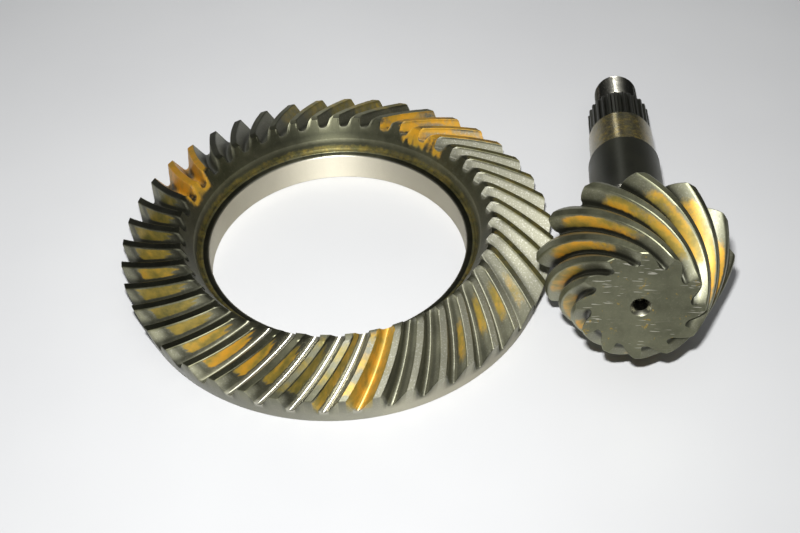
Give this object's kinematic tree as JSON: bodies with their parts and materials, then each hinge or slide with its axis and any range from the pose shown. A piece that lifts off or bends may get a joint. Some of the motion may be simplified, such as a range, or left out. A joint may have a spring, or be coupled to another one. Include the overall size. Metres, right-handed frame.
{
  "type": "bevel gear pair",
  "caption": "Spiral bevel ring gear and its shaft pinion, laid out side by side, for a right-angle axle drive.",
  "frame": {"origin": "on the ring gear's axis, in the plane of its back face", "axes": "+Z along the ring gear's axis, from its back face to its teeth; +X from the ring gear towards the pinion lying beside it; +Y along the pinion, towards its threaded end"},
  "size_m": [0.2798, 0.2086, 0.0868],
  "materials": {
    "ring_steel": "oiled forged steel with ground faces",
    "pinion_steel": "oiled forged steel with ground seats"
  },
  "bodies": {
    "ring_gear": {"ring_gear": "ring_steel"},
    "pinion": {"pinion": "pinion_steel"}
  },
  "joints": [
    {"name": "pinion_spin", "type": "hinge", "parent": "ring_gear", "child": "pinion", "pos_m": [0.1261, -0.0942, 0.05128], "axis": [0.1498, 0.9677, -0.2026], "continuous": true}
  ]
}
